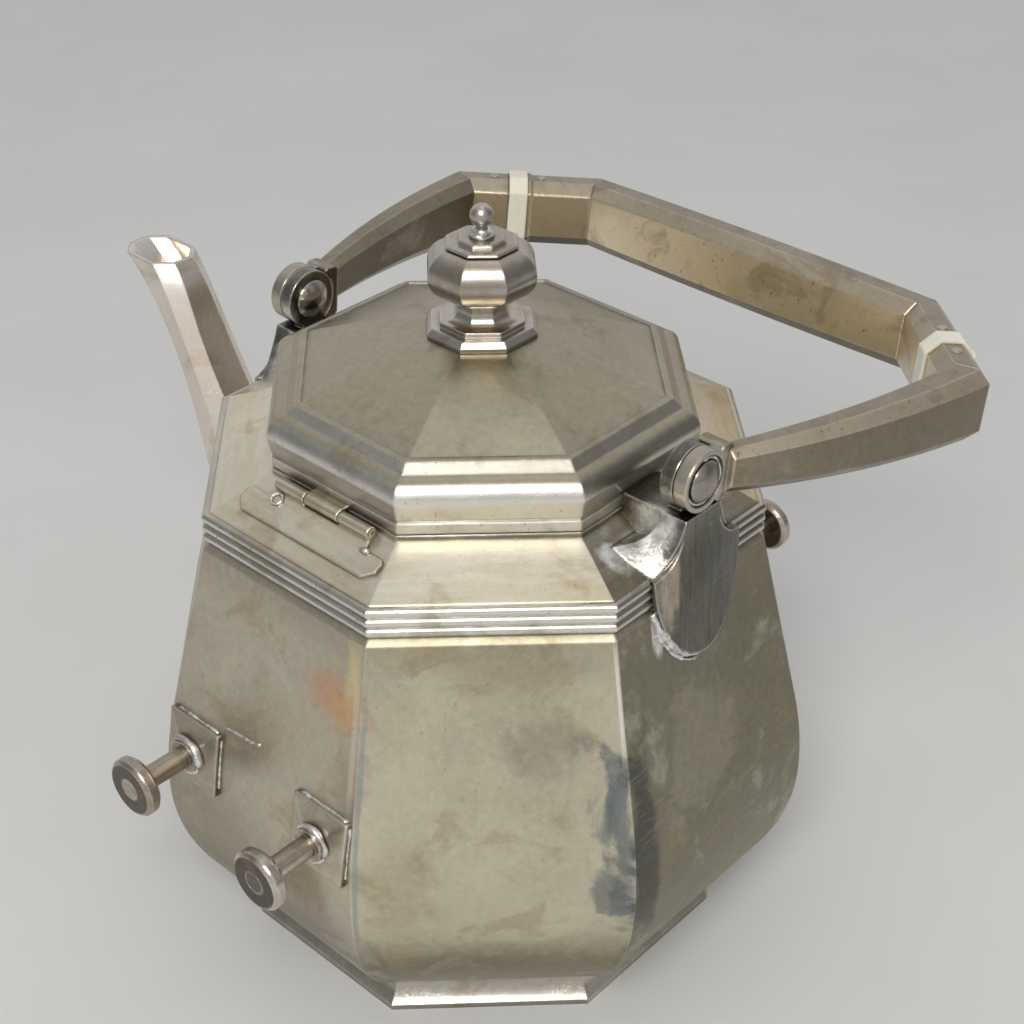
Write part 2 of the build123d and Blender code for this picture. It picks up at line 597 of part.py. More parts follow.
def pivot_rivet():
    """Pin through both knuckles with a domed head at each end."""
    head = RIVET_HEAD_RADIUS
    inner = DISC_IN - RIVET_FLANGE
    floor = DISC_OUT + DISC_THICK - DISC_RECESS + SEAT_GAP
    outer = floor + RIVET_FLANGE
    inside = TangentArc((0, inner - RIVET_DOME), (head, inner), tangent=(1, 0))
    outside = TangentArc((0, outer + RIVET_DOME), (head, outer), tangent=(1, 0))
    shank = Polyline((head, inner), (head, DISC_IN), (RIVET_RADIUS, DISC_IN), (RIVET_RADIUS, floor),
                     (head, floor), (head, outer))
    core = Line((0, inner - RIVET_DOME), (0, outer + RIVET_DOME))
    return Pos(0, 0, PIVOT_HEIGHT) * Rot(0, 90, 0) * revolve(profile(inside, shank, outside, core), Axis.Z)


# -------------------------------------------------------------- handle
def lay_down(piece):
    """Turns a piece drawn on the upright bail to where the dropped bail rests."""
    return Pos(0, 0, PIVOT_HEIGHT) * Rot(-DROP_ANGLE, 0, 0) * piece


def bail_plane(s, t, angle):
    """Plane across the bail at (s, t); angle is the bail's direction from the t axis."""
    turn = radians(angle)
    return Plane(origin=(s, 0, t), x_dir=(cos(turn), 0, -sin(turn)), z_dir=(sin(turn), 0, cos(turn)))


def mitred(bend):
    """Width of the bar along the mitre of a bend."""
    return BAR_THICK / cos(radians(bend / 2))


def heels():
    """Block across the arm's root; its two heels wrap the knuckles and stop on the bracket."""
    far = DISC_OUT + DISC_THICK
    section = chamfered(2 * COLLAR_HALF, COLLAR_END - HEEL_START, HEEL_CHAMFER)
    block = extrude(Plane.YZ * Pos(0, (HEEL_START + COLLAR_END) / 2) * section, amount=far - DISC_IN)
    return Pos(DISC_IN, 0, 0) * block - along_x(ARM_START, DISC_IN - SINK, DISC_OUT, 0, 0)


def arm():
    """Bowed arm with its knuckle, recessed for the rivet's head."""
    middle = bail_plane((ARM_OUT + ELBOW_S) / 2 + ARM_BOW, ELBOW_T / 2, ARM_ANGLE)
    sections = [
        bail_plane(ARM_OUT, ARM_START, 0) * chamfered(ARM_ROOT_THICK, ARM_ROOT_TALL, ARM_CHAMFER),
        middle * chamfered((ARM_ROOT_THICK + BAR_THICK) / 2, (ARM_ROOT_TALL + BAR_TALL) / 2,
                           (ARM_CHAMFER + BAR_CHAMFER) / 2),
        bail_plane(ELBOW_S, ELBOW_T, ELBOW_MITRE) * chamfered(mitred(ARM_END_ANGLE - CORNER_ANGLE), BAR_TALL,
                                                              BAR_CHAMFER),
    ]
    far = DISC_OUT + DISC_THICK
    disc = along_x(DISC_RADIUS, DISC_OUT, far, 0, 0)
    recess = along_x(RIVET_HEAD_RADIUS + RECESS_MARGIN, far - DISC_RECESS, far + SINK, 0, 0)
    bore = along_x(RIVET_RADIUS + RUN_GAP, DISC_OUT - SINK, far + SINK, 0, 0)
    return loft(sections) + heels() + disc - recess - bore


def on_corner(distance):
    """Place on the line from the elbow to the grip."""
    share = distance / CORNER_LENGTH
    return ELBOW_S - CORNER_IN * share, ELBOW_T + CORNER_UP * share


def corner_bar(start, end, inset):
    """Straight bar on the line from the elbow to the grip; a negative inset thickens it."""
    section = chamfered(BAR_THICK - 2 * inset, BAR_TALL - 2 * inset, BAR_CHAMFER - inset / 2)
    return extrude(bail_plane(*on_corner(start), CORNER_ANGLE) * section, amount=end - start)


def beyond(s, t, angle):
    """Block that fills the far side of a mitre."""
    size = 4 * BAR_TALL
    return bail_plane(s, t, angle) * Pos(0, 0, size / 2) * Box(size, size, size)


def pin_at(distance, radius, length):
    s, t = on_corner(distance)
    return Pos(s, 0, t) * Rot(90, 0, 0) * Cylinder(radius, length)


def pin_hole(distance):
    return pin_at(distance, HANDLE_PIN_RADIUS, 2 * BAR_TALL)


def elbow():
    body = corner_bar(-BAR_THICK, FACE_LOW, 0) - beyond(ELBOW_S, ELBOW_T, ELBOW_MITRE + 180)
    socket = corner_bar(FACE_LOW - TENON_LENGTH - TENON_GAP, FACE_LOW + SINK, BAR_WALL)
    return body - socket - pin_hole(PIN_LOW)


def grip_end():
    body = corner_bar(FACE_HIGH, CORNER_LENGTH + BAR_THICK, 0) - beyond(GRIP_S, GRIP_T, GRIP_MITRE)
    band = corner_bar(FACE_HIGH, FACE_HIGH + BAND_LENGTH, -BAND_PROUD)
    socket = corner_bar(FACE_HIGH - SINK, FACE_HIGH + TENON_LENGTH + TENON_GAP, BAR_WALL)
    return body + band - socket - pin_hole(PIN_HIGH)


def insulator():
    """Heat-proof disc with a tenon into the metal at each side."""
    plate = corner_bar(FACE_LOW, FACE_HIGH, -INSULATOR_PROUD)
    tenons = corner_bar(FACE_LOW - TENON_LENGTH, FACE_HIGH + TENON_LENGTH, BAR_WALL + TENON_GAP)
    return plate + tenons - pin_hole(PIN_LOW) - pin_hole(PIN_HIGH)


def grip():
    """Hand grip between the two creases, slightly fuller in the middle."""
    end = chamfered(mitred(CORNER_ANGLE + 90), BAR_TALL, BAR_CHAMFER)
    full = chamfered(BAR_THICK + GRIP_SWELL / 2, BAR_TALL + GRIP_SWELL, BAR_CHAMFER)
    return loft([bail_plane(GRIP_S, GRIP_T, GRIP_MITRE) * end, bail_plane(0, GRIP_T, -90) * full,
                 bail_plane(-GRIP_S, GRIP_T, -180 - GRIP_MITRE) * end])


# --------------------------------------------------------------- spools
def on_flat(x, side):
    """Place square on the body's sloping flat at side * Y, with its z axis outwards."""
    return Pos(x, side * wall_at(SPOOL_HEIGHT), SPOOL_HEIGHT) * Rot(side * (SPOOL_TILT - 90), 0, 0)


def level(x, side):
    """Place at the top of a spool's plate, with its z axis outwards and level."""
    return on_flat(x, side) * Pos(0, 0, SPOOL_SEAT) * Rot(-side * SPOOL_TILT, 0, 0)


def round_bar(radius, start, end):
    return Pos(0, 0, (start + end) / 2) * Cylinder(radius, end - start)


def spool_plate(x, side):
    """Square plate, a low pyramid, with the level bore of its pin."""
    square = Rectangle(SPOOL_PLATE, SPOOL_PLATE)
    slab = Pos(0, 0, -2 * SINK) * extrude(square, amount=2 * SINK + SPOOL_PLATE_EDGE)
    roof = loft([Pos(0, 0, SPOOL_PLATE_EDGE) * square,
                 Pos(0, 0, SPOOL_SEAT) * Rectangle(SPOOL_PLATE_TOP, SPOOL_PLATE_TOP)])
    return on_flat(x, side) * (slab + roof) - level(x, side) * Cylinder(SPOOL_RADIUS, 8 * SPOOL_SEAT)


def spool_pin(x, side, plate):
    """Level shaft through the plate and the disc, with a collar soldered on the plate."""
    collar = level(x, side) * round_bar(SPOOL_COLLAR_RADIUS, -SINK, SPOOL_COLLAR) - plate
    return collar + level(x, side) * round_bar(SPOOL_RADIUS, -2 * SPOOL_SEAT, SPOOL_LENGTH + SPOOL_DISC)


def spool_disc(x, side):
    edge = SPOOL_DISC_RADIUS
    bevel = SPOOL_DISC_BEVEL
    bore = SPOOL_RADIUS
    outline = polygon((bore, 0), (edge - bevel, 0), (edge, bevel), (edge, SPOOL_DISC - bevel),
                      (edge - bevel, SPOOL_DISC), (bore, SPOOL_DISC))
    return level(x, side) * Pos(0, 0, SPOOL_LENGTH) * revolve(outline, Axis.Z)


# -------------------------------------------------------------- assembly
def kettle():
    filled = body_solid()
    seat = bracket_seat(filled)
    shell = body_shell()
    pieces = {
        "body_shell": shell,
        "base_plate": base_plate(shell),
        "foot_ring": foot_ring(),
        "reed_moulding": reed_moulding(),
        "shoulder": shoulder(),
        "neck_ring": neck_ring(),
        "spout": spout(filled),
        "hinge_leaf": hinge_leaf(seat),
        "hinge_pin": hinge_pin(),
        "bracket_right": bracket(seat),
        "rivet_right": pivot_rivet(),
    }
    pieces["bracket_left"] = mirrored(pieces["bracket_right"])
    pieces["rivet_left"] = mirrored(pieces["rivet_right"])
    for y_name, y_side in (("front", -1), ("back", 1)):
        for x_name, x_side in (("left", -1), ("right", 1)):
            place = (x_side * SPOOL_HALF, y_side)
            name = y_name + "_" + x_name
            plate = spool_plate(*place)
            pieces["spool_plate_" + name] = plate - filled
            pieces["spool_pin_" + name] = spool_pin(*place, plate) - filled
            pieces["spool_disc_" + name] = spool_disc(*place)
    return pieces


def lid():
    return {
        "lid_cover": lid_cover(),
        "lid_bezel": lid_bezel(),
        "hinge_strap": hinge_strap(),
        "finial_plinth": finial_plinth(),
        "finial_knob": finial_knob(),
        "finial_cap": finial_cap(),
        "finial_stud": finial_stud(),
        "finial_nut": finial_nut(),
    }


def handle():
    right = {
        "arm": arm(),
        "elbow": elbow(),
        "insulator": insulator(),
        "grip_end": grip_end(),
        "elbow_pin": pin_at(PIN_LOW, HANDLE_PIN_RADIUS, BAR_TALL),
        "grip_pin": pin_at(PIN_HIGH, HANDLE_PIN_RADIUS, BAR_TALL),
    }
    pieces = {"grip": lay_down(grip())}
    for name, piece in right.items():
        pieces[name + "_right"] = lay_down(piece)
        pieces[name + "_left"] = lay_down(mirrored(piece))
    return pieces


for node, piece in {**kettle(), **lid(), **handle()}.items():
    export_step(piece, "parts/" + node + ".step")
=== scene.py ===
import math
import random
from collections import namedtuple

import bpy
from mathutils import Matrix, Vector


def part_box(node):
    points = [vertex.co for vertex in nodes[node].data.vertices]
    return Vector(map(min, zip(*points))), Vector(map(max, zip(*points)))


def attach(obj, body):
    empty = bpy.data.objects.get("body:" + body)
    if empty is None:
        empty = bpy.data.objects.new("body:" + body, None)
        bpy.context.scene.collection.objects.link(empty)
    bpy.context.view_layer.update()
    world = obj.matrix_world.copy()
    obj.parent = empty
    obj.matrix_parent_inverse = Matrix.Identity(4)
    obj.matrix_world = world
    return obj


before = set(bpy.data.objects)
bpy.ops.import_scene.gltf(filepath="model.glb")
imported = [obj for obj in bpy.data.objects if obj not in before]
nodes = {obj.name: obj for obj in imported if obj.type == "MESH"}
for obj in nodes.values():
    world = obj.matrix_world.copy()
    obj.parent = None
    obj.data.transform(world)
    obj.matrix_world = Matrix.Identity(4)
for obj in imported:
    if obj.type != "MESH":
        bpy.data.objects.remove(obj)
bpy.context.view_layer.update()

MM = 0.001
DIAGONAL = math.sqrt(0.5)                   # part of a slanting direction along each axis

# Directions
UP = Vector((0, 0, 1))
DOWN = (0, 0, -1)
LEFT = (0, -1, 0)                           # flat with the lid's hinge, on the camera's left
BACK = (0, 1, 0)
RIGHT = (1, 0, 0)                           # flat with the near bracket, on the camera's right
FRONT = (DIAGONAL, -DIAGONAL, 0)            # flat that faces the camera
UPPER_RIGHT = (DIAGONAL, 0, DIAGONAL)       # upper chamfer of the handle's near arm
SPOUT_SIDE_LOW = (-0.5, 0, -0.86)           # belly under the spout

# Camera, solved from the octagonal rings in the photograph
SENSOR_WIDTH = 36.0
LENS = 63.555
CAMERA_PLACE = (0.250302, -0.266791, 0.355647)
CAMERA_RIGHT = Vector((0.73903, 0.67362, 0.00832))
CAMERA_UP = Vector((-0.38105, 0.40780, 0.82976))
NEAREST, FARTHEST = 0.01, 40.0              # what the camera sees, in metres

# Lamps look here
AIM = Vector((0, 0, 0.08))

# Walls and ceiling of the studio
CEILING_SHARE = 0.5                         # how much the ceiling counts beside the walls
DIM, BRIGHT = 0.24, 0.60                    # strength of the dark and the pale walls
DIM_UNTIL, BRIGHT_FROM = 0.25, 0.85
AIR = (0.99, 0.99, 1.0, 1)
FLOOR_HALF = 12.0

# How each material lies over its piece
Tint = namedtuple("Tint", "direction low high colour amount")
Blot = namedtuple("Blot", "point reach colour amount ragged soft")
Ribbon = namedtuple("Ribbon", "azimuth half low high colour amount ragged soft")


# ------------------------------------------------------------ camera and light
def placed(name, data):
    """A new object in the scene."""
    item = bpy.data.objects.new(name, data)
    bpy.context.scene.collection.objects.link(item)
    return item


def make_camera():
    data = bpy.data.cameras.new("camera")
    data.sensor_width = SENSOR_WIDTH
    data.lens = LENS
    data.clip_start = NEAREST
    data.clip_end = FARTHEST
    camera = placed("camera", data)
    axes = (CAMERA_RIGHT, CAMERA_UP, CAMERA_RIGHT.cross(CAMERA_UP))
    camera.matrix_world = Matrix.Translation(CAMERA_PLACE) @ Matrix(axes).transposed().to_4x4()
    bpy.context.scene.camera = camera


def softbox(name, azimuth, height, distance, size, power, colour):
    """Square lamp that looks at the kettle from a compass angle and a height angle, in degrees."""
    azimuth, height = math.radians(azimuth), math.radians(height)
    level = distance * math.cos(height)
    place = Vector((level * math.cos(azimuth), level * math.sin(azimuth),
                    distance * math.sin(height)))
    data = bpy.data.lights.new(name, "AREA")
    data.size = size
    data.energy = power
    data.color = colour
    turn = (AIM - place).to_track_quat("-Z", "Y").to_matrix().to_4x4()
    placed(name, data).matrix_world = Matrix.Translation(place) @ turn


def make_world():
    """Soft studio: pale walls before and behind the kettle, a pale ceiling, darker side walls."""
    world = bpy.data.worlds.new("studio")
    bpy.context.scene.world = world
    world.use_nodes = True
    tree = world.node_tree
    place = tree.nodes.new("ShaderNodeTexCoord").outputs["Generated"]
    ahead = tree.nodes.new("ShaderNodeVectorMath")
    ahead.operation = "DOT_PRODUCT"
    ahead.inputs[1].default_value = FRONT
    either = tree.nodes.new("ShaderNodeMath")
    either.operation = "ABSOLUTE"
    split = tree.nodes.new("ShaderNodeSeparateXYZ")
    both = tree.nodes.new("ShaderNodeMath")
    both.operation = "MULTIPLY_ADD"
    both.inputs[1].default_value = CEILING_SHARE
    level = tree.nodes.new("ShaderNodeMapRange")
    for key, value in (("From Min", DIM_UNTIL), ("From Max", BRIGHT_FROM),
                       ("To Min", DIM), ("To Max", BRIGHT)):
        level.inputs[key].default_value = value
    tree.links.new(place, ahead.inputs[0])
    tree.links.new(ahead.outputs["Value"], either.inputs[0])
    tree.links.new(place, split.inputs[0])
    tree.links.new(split.outputs["Z"], both.inputs[0])
    tree.links.new(either.outputs[0], both.inputs[2])
    tree.links.new(both.outputs[0], level.inputs["Value"])
    background = tree.nodes["Background"]
    tree.links.new(level.outputs["Result"], background.inputs["Strength"])
    background.inputs["Color"].default_value = AIR


def make_floor():
    """Plain pale floor, a little cloudy."""
    half = FLOOR_HALF
    mesh = bpy.data.meshes.new("floor")
    corners = [(-half, -half, 0), (half, -half, 0), (half, half, 0), (-half, half, 0)]
    mesh.from_pydata(corners, [], [(0, 1, 2, 3)])
    floor = placed("floor", mesh)
    paint = Paint("floor")
    grain = paint.noise(paint.here, 9.0, detail=3.0)
    grey = paint.ramp(grain, [(0.3, (0.66, 0.66, 0.65)), (0.7, (0.70, 0.70, 0.69))])
    mesh.materials.append(paint.principled(grey, 0.75))


# ------------------------------------------------------------ material helpers
class Paint:
    """A material whose nodes are added one call at a time."""

    def __init__(self, name):
        self.material = bpy.data.materials.new(name)
        self.material.use_nodes = True
        self.tree = self.material.node_tree
        self.shader = self.tree.nodes["Principled BSDF"]
        self.coordinates = self.add("ShaderNodeTexCoord").outputs
        self.here = self.place()

    def add(self, kind, inputs=None, **settings):
        node = self.tree.nodes.new(kind)
        for key, value in settings.items():
            setattr(node, key, value)
        for key, value in (inputs or {}).items():
            self.plug(node.inputs[key], value)
        return node

    def plug(self, socket, value):
        """Link an output to a socket, or set the socket's own value."""
        if isinstance(value, bpy.types.NodeSocket):
            self.tree.links.new(value, socket)
        elif isinstance(value, tuple) and socket.type == "RGBA":
            socket.default_value = (*value[:3], 1)
        else:
            socket.default_value = value

    def place(self, scale=(1, 1, 1), turn=(0, 0, 0), shift=(0, 0, 0)):
        return self.add("ShaderNodeMapping", {
            "Vector": self.coordinates["Object"], "Scale": scale, "Rotation": turn,
            "Location": shift}).outputs["Vector"]

    def noise(self, where, scale, detail=4.0, rough=0.55, distort=0.0):
        return self.add("ShaderNodeTexNoise", {
            "Vector": where, "Scale": scale, "Detail": detail, "Roughness": rough,
            "Distortion": distort}).outputs["Fac"]

    def ramp(self, value, stops):
        """Colours, or greys given as one number, along a value from 0 to 1."""
        node = self.add("ShaderNodeValToRGB", {"Fac": value})
        band = node.color_ramp
        while len(band.elements) < len(stops):
            band.elements.new(0.5)
        for element, (at, colour) in zip(band.elements, stops):
            element.position = at
            element.color = (*(colour if isinstance(colour, tuple) else (colour,) * 3), 1)
        return node.outputs["Color"]

    def between(self, value, low, high):
        """0 at low, 1 at high and smooth from one to the other."""
        return self.add("ShaderNodeMapRange", {"Value": value, "From Min": low, "From Max": high},
                        interpolation_type="SMOOTHSTEP").outputs["Result"]

    def math(self, kind, a, b=0.0, clamp=False):
        node = self.add("ShaderNodeMath", operation=kind, use_clamp=clamp)
        self.plug(node.inputs[0], a)
        self.plug(node.inputs[1], b)
        return node.outputs[0]

    def times(self, a, b):
        return self.math("MULTIPLY", a, b)

    def swing(self, noise, amount):
        """A noise round its middle value, so that it goes both ways."""
        return self.times(self.math("SUBTRACT", noise, 0.5), amount)

    def either(self, a, b):
        return b if a is None else self.math("MAXIMUM", a, b)

    def mix(self, share, a, b, blend="MIX"):
        node = self.add("ShaderNodeMix", data_type="RGBA", blend_type=blend)
        for index, value in ((0, share), (6, a), (7, b)):       # factor and the two colours
            self.plug(node.inputs[index], value)
        return node.outputs[2]

    def grain(self, share, colour, noise, contrast):
        """A colour made lighter and darker by a noise."""
        greys = self.ramp(noise, [(0.3, 0.5 - contrast), (0.7, 0.5 + contrast)])
        return self.mix(share, colour, greys, "OVERLAY")

    def dot(self, a, b):
        node = self.add("ShaderNodeVectorMath", operation="DOT_PRODUCT")
        self.plug(node.inputs[0], a)
        self.plug(node.inputs[1], b)
        return node.outputs["Value"]

    def facing(self, direction, low, high):
        """1 on the faces that look along a direction, by how squarely they do."""
        return self.between(self.dot(self.coordinates["Normal"], direction), low, high)

    def distance_from(self, value, middle, half):
        """0 at a middle value, 1 a half width away from it."""
        away = self.math("ABSOLUTE", self.math("SUBTRACT", value, middle))
        return self.math("DIVIDE", away, half)

    def spot(self, far, ragged, soft, wander):
        """Ragged shape from a distance that is 1 on its outline, worn by the noise in wander."""
        edge = self.math("ADD", far, self.swing(wander, ragged))
        return self.between(self.math("SUBTRACT", 1.0, edge), 0.0, soft)

    def blot(self, point, reach, ragged, soft, wander):
        """Ragged spot of a given half size."""
        scale = tuple(1 / r for r in reach)
        shift = tuple(-p * s for p, s in zip(point, scale))
        far = self.add("ShaderNodeVectorMath", operation="LENGTH")
        self.plug(far.inputs[0], self.place(scale=scale, shift=shift))
        return self.spot(far.outputs["Value"], ragged, soft, wander)

    def ribbon(self, azimuth, half, low, high, ragged, soft, wander):
        """Upright stripe round a compass angle in degrees, between two heights."""
        split = self.add("ShaderNodeSeparateXYZ", {0: self.coordinates["Object"]}).outputs
        angle = self.math("DEGREES", self.math("ARCTAN2", split["Y"], split["X"]))
        across = self.distance_from(angle, azimuth, half)
        along = self.distance_from(split["Z"], (low + high) / 2, (high - low) / 2)
        return self.spot(self.math("MAXIMUM", across, along), ragged, soft, wander)

    def rounded(self, radius, samples):
        """The surface's direction as if its sharp edges had a radius."""
        return self.add("ShaderNodeBevel", {"Radius": radius}, samples=samples).outputs["Normal"]

    def edges(self, radius, sharp, flat):
        """1 along the sharp edges, 0 on the flats."""
        plain = self.add("ShaderNodeNewGeometry").outputs["Normal"]
        same = self.dot(self.rounded(radius, EDGE_SAMPLES), plain)
        return self.add("ShaderNodeMapRange", {"Value": same, "From Min": flat,
                                               "From Max": sharp}).outputs["Result"]

    def crevices(self, reach):
        """1 in grooves and inner corners."""
        sky = self.add("ShaderNodeAmbientOcclusion", {"Distance": reach}, samples=EDGE_SAMPLES)
        return self.between(sky.outputs["AO"], 0.85, 0.35)

    def bump(self, height, distance, strength, under=None):
        inputs = {"Height": height, "Distance": distance, "Strength": strength}
        if under is not None:
            inputs["Normal"] = under
        return self.add("ShaderNodeBump", inputs).outputs["Normal"]

    def principled(self, colour, roughness, metallic=0.0, normal=None):
        self.plug(self.shader.inputs["Base Color"], colour)
        self.plug(self.shader.inputs["Roughness"], roughness)
        self.shader.inputs["Metallic"].default_value = metallic
        if normal is not None:
            self.plug(self.shader.inputs["Normal"], normal)
        return self.material


# ------------------------------------------------------------------- materials
STAIN = (0.80, 0.70, 0.52)                  # a stain's colour, as a share of the film's deep one
GROOVE = 0.22                               # the same for the tarnish in grooves
# colour of worn edges, partly a painted highlight, and of the painted highlight on front faces
WEAR_AND_HIGHLIGHT = (0.86, 0.82, 0.74)
HAIRLINE = (0.80, 0.76, 0.68)
# the next two: painted dark reflections beside the body's right corner
SLATE_REFLECTION = (0.175, 0.20, 0.21)
COAL_REFLECTION = (0.085, 0.09, 0.08)
BROWN = (0.26, 0.20, 0.125)
AMBER = (0.72, 0.44, 0.22)
ROSE = (0.66, 0.38, 0.26)
SUN = (0.80, 0.70, 0.36)
# painted highlight along the body's corners
CREAM_HIGHLIGHT = (0.92, 0.88, 0.76)
SMUDGE = 0.02                               # how far a band's edge wanders, in metres
GROOVE_REACH = 2.6 * MM                     # how wide a groove still holds tarnish
EDGE_REACH = 0.8 * MM                       # how far from an edge the wear goes
EDGE_SAMPLES, CORNER_SAMPLES = 4, 6


def scratches(paint):
    """Fine short hairlines in three directions, in patches."""
    total = None
    for turn, fineness in (((0.3, 0.2, 0.5), 3200.0), ((1.1, 0.7, 2.0), 3600.0),
                           ((2.0, 1.5, 0.9), 2900.0)):
        line = paint.noise(paint.place(scale=(1.0, 0.03, 1.0), turn=turn), fineness, detail=1.0)
        total = paint.either(total, paint.between(line, 0.66, 0.72))
    patchy = paint.between(paint.noise(paint.here, 45.0, detail=3.0), 0.48, 0.62)
    return paint.times(total, patchy)


def paint_side_light(paint, colour, mottle, faces, bands):
    """Painted light and shade: sides made lighter or darker by the way their faces look, and by
    where they lie.
    """
    for side in faces:
        share = paint.facing(side.direction, side.low, side.high)
        colour = paint.mix(paint.times(share, side.amount), colour, side.colour)
    for band in bands:
        reach = paint.math("ADD", paint.dot(paint.coordinates["Object"], band.direction),
                           paint.swing(mottle, SMUDGE))
        share = paint.between(reach, band.low, band.high)
        colour = paint.mix(paint.times(share, band.amount), colour, band.colour)
    return colour


def stains_and_painted_light(paint, colour, mottle, blots, ribbons):
    """Stains, painted highlights, painted shade and painted reflections of one place, laid over a
    colour one by one.
    """
    for blot in blots:
        shape = paint.blot(blot.point, blot.reach, blot.ragged, blot.soft, mottle)
        colour = paint.mix(paint.times(shape, blot.amount), colour, blot.colour)
    for stripe in ribbons:
        shape = paint.ribbon(stripe.azimuth, stripe.half, stripe.low, stripe.high, stripe.ragged,
                             stripe.soft, mottle)
        colour = paint.mix(paint.times(shape, stripe.amount), colour, stripe.colour)
    return colour


def crusted(paint, crust, mottle, colour, gloss, normal):
    """The same colour, gloss and relief with rough white solder over the spots in crust."""
    covered = None
    for point, reach in crust:
        covered = paint.either(covered, paint.blot(point, reach, 1.5, 0.45, mottle))
    lumps = paint.noise(paint.here, 300.0, detail=5.0, rough=0.6, distort=0.4)
    white = paint.ramp(lumps, [(0.34, (0.46, 0.43, 0.37)), (0.50, (0.72, 0.71, 0.68)),
                               (0.62, (0.86, 0.87, 0.88))])
    colour = paint.mix(covered, colour, white)
    gloss = paint.math("ADD", gloss, paint.times(covered, 0.28), clamp=True)
    height = paint.times(covered, paint.math("ADD", lumps, 0.8))
    return colour, gloss, paint.bump(height, 0.35 * MM, 0.6, normal)


def silver(name, pale, mid, deep, rough, corner, faces=(), bands=(), blots=(), ribbons=(),
           crust=(), shine=0.55, brushed=None, specks=0.5):
    """Tarnished silver plate.

    A cloudy warm film with blotches, dark specks and hairlines lies over it. Grooves hold dark
    tarnish and edges are worn bright, partly as a painted highlight.

    pale, mid and deep are the film's colours, rough its mean roughness and corner the radius
    that sharp edges show. faces and bands are painted light and shade: sides lighter or darker by
    the way they look and by where they lie. blots and ribbons are stains of one place, and on some
    pieces painted highlights, shade and reflections. crust lists the point and half size of each
    spot that rough white solder covers. shine and specks are the strength of the worn, partly
    highlit edges and the dark specks. brushed is the scale that draws the brush lines out.
    """
    paint = Paint(name)
    cloud = paint.noise(paint.here, 14.0, distort=0.4)
    mottle = paint.noise(paint.place(shift=(3.1, 1.7, 0.4)), 60.0, detail=7.0, rough=0.62,
                         distort=0.6)
    fine = paint.noise(paint.here, 520.0, detail=3.0, rough=0.6)
    streak = None
    if brushed is not None:
        streak = paint.noise(paint.place(scale=brushed), 900.0, detail=3.0, rough=0.6)

    stain = tuple(c * k for c, k in zip(deep, STAIN))
    colour = paint.ramp(cloud, [(0.30, deep), (0.47, mid), (0.68, pale)])
    # painted light and shade: sides lighter or darker by the way their faces look and by where
    # they lie
    colour = paint_side_light(paint, colour, mottle, faces, bands)
    colour = paint.mix(paint.times(paint.between(mottle, 0.47, 0.36), 0.38), colour, stain)
    colour = paint.mix(paint.times(paint.between(mottle, 0.56, 0.70), 0.35), colour, pale)
    # stains, and on some pieces painted highlights, painted shade and painted reflections of one
    # place
    colour = stains_and_painted_light(paint, colour, mottle, blots, ribbons)
    colour = paint.grain(0.35, colour, fine, 0.12)
    pits = paint.noise(paint.place(scale=(1, 1, 0.6)), 1100.0, detail=2.0)
    pits = paint.times(paint.between(pits, 0.34, 0.28), paint.between(cloud, 0.60, 0.45))
    colour = paint.mix(paint.times(pits, specks), colour, stain)
    if streak is not None:
        colour = paint.grain(0.6, colour, streak, 0.20)
    dark = paint.times(paint.crevices(GROOVE_REACH), 0.8)
    colour = paint.mix(dark, colour, tuple(c * GROOVE for c in deep))
    # worn edges, partly a painted highlight along the sharp edges
    worn = paint.times(paint.edges(EDGE_REACH, sharp=0.88, flat=0.995),
                       paint.ramp(mottle, [(0.38, 0.35), (0.58, 1.0)]))
    colour = paint.mix(paint.times(worn, shine), colour, WEAR_AND_HIGHLIGHT)
    lines = scratches(paint)
    colour = paint.mix(paint.times(lines, 0.16), colour, HAIRLINE)

    gloss = paint.ramp(cloud, [(0.3, rough + 0.08), (0.7, rough - 0.05)])
    gloss = paint.math("ADD", gloss, paint.swing(mottle, -0.25))
    gloss = paint.math("ADD", gloss, paint.times(dark, 0.25))
    gloss = paint.math("SUBTRACT", gloss, paint.times(worn, 0.10), clamp=True)

    dents = paint.noise(paint.here, 32.0, detail=2.0)
    normal = paint.bump(dents, 0.8 * MM, 0.18, paint.rounded(corner, CORNER_SAMPLES))
    normal = paint.bump(fine, 0.04 * MM, 0.5, normal)
    if streak is not None:
        normal = paint.bump(streak, 0.05 * MM, 0.6, normal)
    normal = paint.bump(lines, 0.04 * MM, 0.4, normal)
    if crust:
        colour, gloss, normal = crusted(paint, crust, mottle, colour, gloss, normal)
    return paint.principled(colour, gloss, 1.0, normal)


def ivory(name):
    """Smooth old ivory with faint lengthwise grain."""
    paint = Paint(name)
    cloud = paint.noise(paint.here, 60.0)
    colour = paint.ramp(cloud, [(0.3, (0.76, 0.72, 0.58)), (0.7, (0.86, 0.84, 0.74))])
    grain = paint.noise(paint.place(scale=(1.0, 1.0, 0.15)), 500.0, detail=3.0)
    lines = paint.times(paint.between(grain, 0.55, 0.70), 0.30)
    colour = paint.mix(lines, colour, (0.62, 0.53, 0.36))
    dirt = paint.times(paint.crevices(1.5 * MM), 0.7)
    colour = paint.mix(dirt, colour, (0.34, 0.26, 0.15))
    normal = paint.bump(grain, 0.05 * MM, 0.5, paint.rounded(0.9 * MM, CORNER_SAMPLES))
    gloss = paint.ramp(cloud, [(0.3, 0.44), (0.7, 0.30)])
    return paint.principled(colour, gloss, 0.0, normal)


